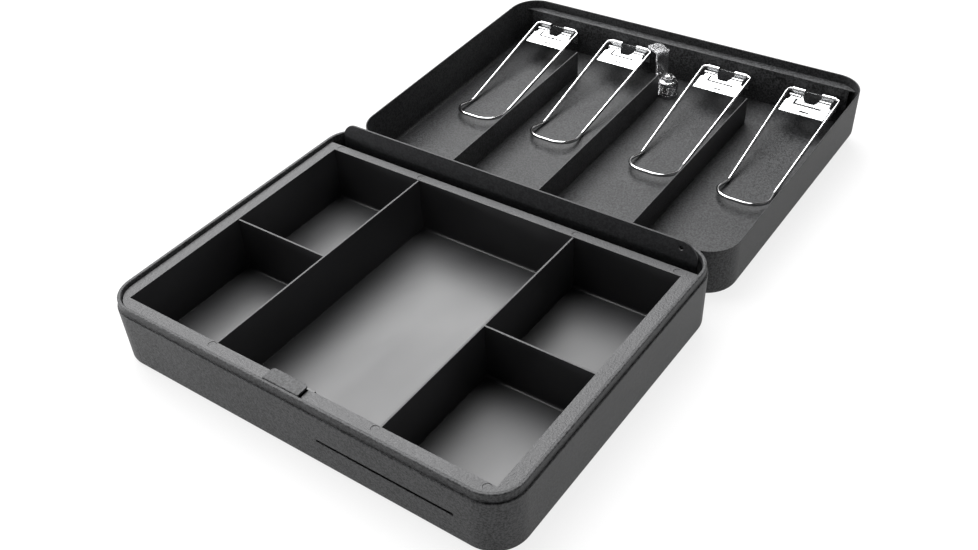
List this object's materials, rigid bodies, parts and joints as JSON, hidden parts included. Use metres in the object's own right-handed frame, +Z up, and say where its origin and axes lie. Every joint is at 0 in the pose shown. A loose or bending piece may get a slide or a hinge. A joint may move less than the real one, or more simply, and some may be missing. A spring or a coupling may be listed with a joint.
{
  "type": "cash drawer",
  "caption": "Portable steel cash box with a hinged lid, a lift-out moulded coin tray, note bays with sprung wire clips and a cam lock.",
  "frame": {"origin": "centre of the box body's underside, where it stands on the counter", "axes": "+X to the right seen from the front, +Y to the back where the hinge is and the open lid lies, +Z up"},
  "size_m": [0.3, 0.4801, 0.0565],
  "materials": {
    "powder_coat": "fine-textured charcoal powder coat",
    "tray_plastic": "black moulded plastic, grained rim and polished pockets",
    "zinc_plate": "bright zinc plate",
    "chrome_wire": "bright nickel plated spring wire",
    "lock_chrome": "bright chrome plate",
    "handle_steel": "plated steel",
    "pin_steel": "drawn steel rod"
  },
  "bodies": {
    "box": {"body_shell": "powder_coat", "catch_bracket": "powder_coat", "back_plate": "powder_coat", "hinge_leaf_body": "powder_coat", "hinge_pin": "pin_steel"},
    "tray": {"coin_tray": "tray_plastic"},
    "lid": {"lid_shell": "powder_coat", "hinge_leaf_lid": "powder_coat", "note_divider_left": "powder_coat", "note_divider_centre": "powder_coat", "note_divider_right": "powder_coat", "clip_rail": "powder_coat", "clip_bracket_1": "zinc_plate", "clip_bracket_2": "zinc_plate", "clip_bracket_3": "zinc_plate", "clip_bracket_4": "zinc_plate", "clip_rivet_1a": "zinc_plate", "clip_rivet_1b": "zinc_plate", "clip_rivet_2a": "zinc_plate", "clip_rivet_2b": "zinc_plate", "clip_rivet_3a": "zinc_plate", "clip_rivet_3b": "zinc_plate", "clip_rivet_4a": "zinc_plate", "clip_rivet_4b": "zinc_plate", "lock_barrel": "lock_chrome", "lock_ring_nut": "lock_chrome", "handle_saddle_left": "handle_steel", "handle_saddle_right": "handle_steel"},
    "lock": {"lock_plug": "lock_chrome", "lock_cam": "lock_chrome", "cam_nut": "lock_chrome"},
    "clip_1": {"clip_wire_1": "chrome_wire"},
    "clip_2": {"clip_wire_2": "chrome_wire"},
    "clip_3": {"clip_wire_3": "chrome_wire"},
    "clip_4": {"clip_wire_4": "chrome_wire"},
    "handle": {"carry_handle": "handle_steel"}
  },
  "joints": [
    {"name": "lid_hinge", "type": "hinge", "parent": "box", "child": "lid", "pos_m": [0, 0.1215, 0.0385], "axis": [1, 0, 0], "range_deg": [0, 178]},
    {"name": "tray_lift", "type": "slide", "parent": "box", "child": "tray", "axis": [0, 0, -1], "range_m": [-0.07, 0]},
    {"name": "lock_turn", "type": "hinge", "parent": "lid", "child": "lock", "pos_m": [0.0045, 0.32963, 0.02396], "axis": [0, 0.0349, -0.9994], "range_deg": [0, 60]},
    {"name": "clip_1_lift", "type": "hinge", "parent": "lid", "child": "clip_1", "pos_m": [-0.111, 0.34993, 0.03017], "axis": [1, 0, 0], "range_deg": [-75, 0], "stiffness_Nm_per_rad": 0.05, "springref_deg": 17.19},
    {"name": "clip_2_lift", "type": "hinge", "parent": "lid", "child": "clip_2", "pos_m": [-0.042, 0.34993, 0.03017], "axis": [1, 0, 0], "range_deg": [-75, 0], "stiffness_Nm_per_rad": 0.05, "springref_deg": 17.19},
    {"name": "clip_3_lift", "type": "hinge", "parent": "lid", "child": "clip_3", "pos_m": [0.0445, 0.34993, 0.03017], "axis": [1, 0, 0], "range_deg": [-75, 0], "stiffness_Nm_per_rad": 0.05, "springref_deg": 17.19},
    {"name": "clip_4_lift", "type": "hinge", "parent": "lid", "child": "clip_4", "pos_m": [0.115, 0.34993, 0.03017], "axis": [1, 0, 0], "range_deg": [-75, 0], "stiffness_Nm_per_rad": 0.05, "springref_deg": 17.19},
    {"name": "handle_fold", "type": "hinge", "parent": "lid", "child": "handle", "pos_m": [0, 0.24431, 0.00306], "axis": [-1, 0, 0], "range_deg": [0, 90]}
  ]
}
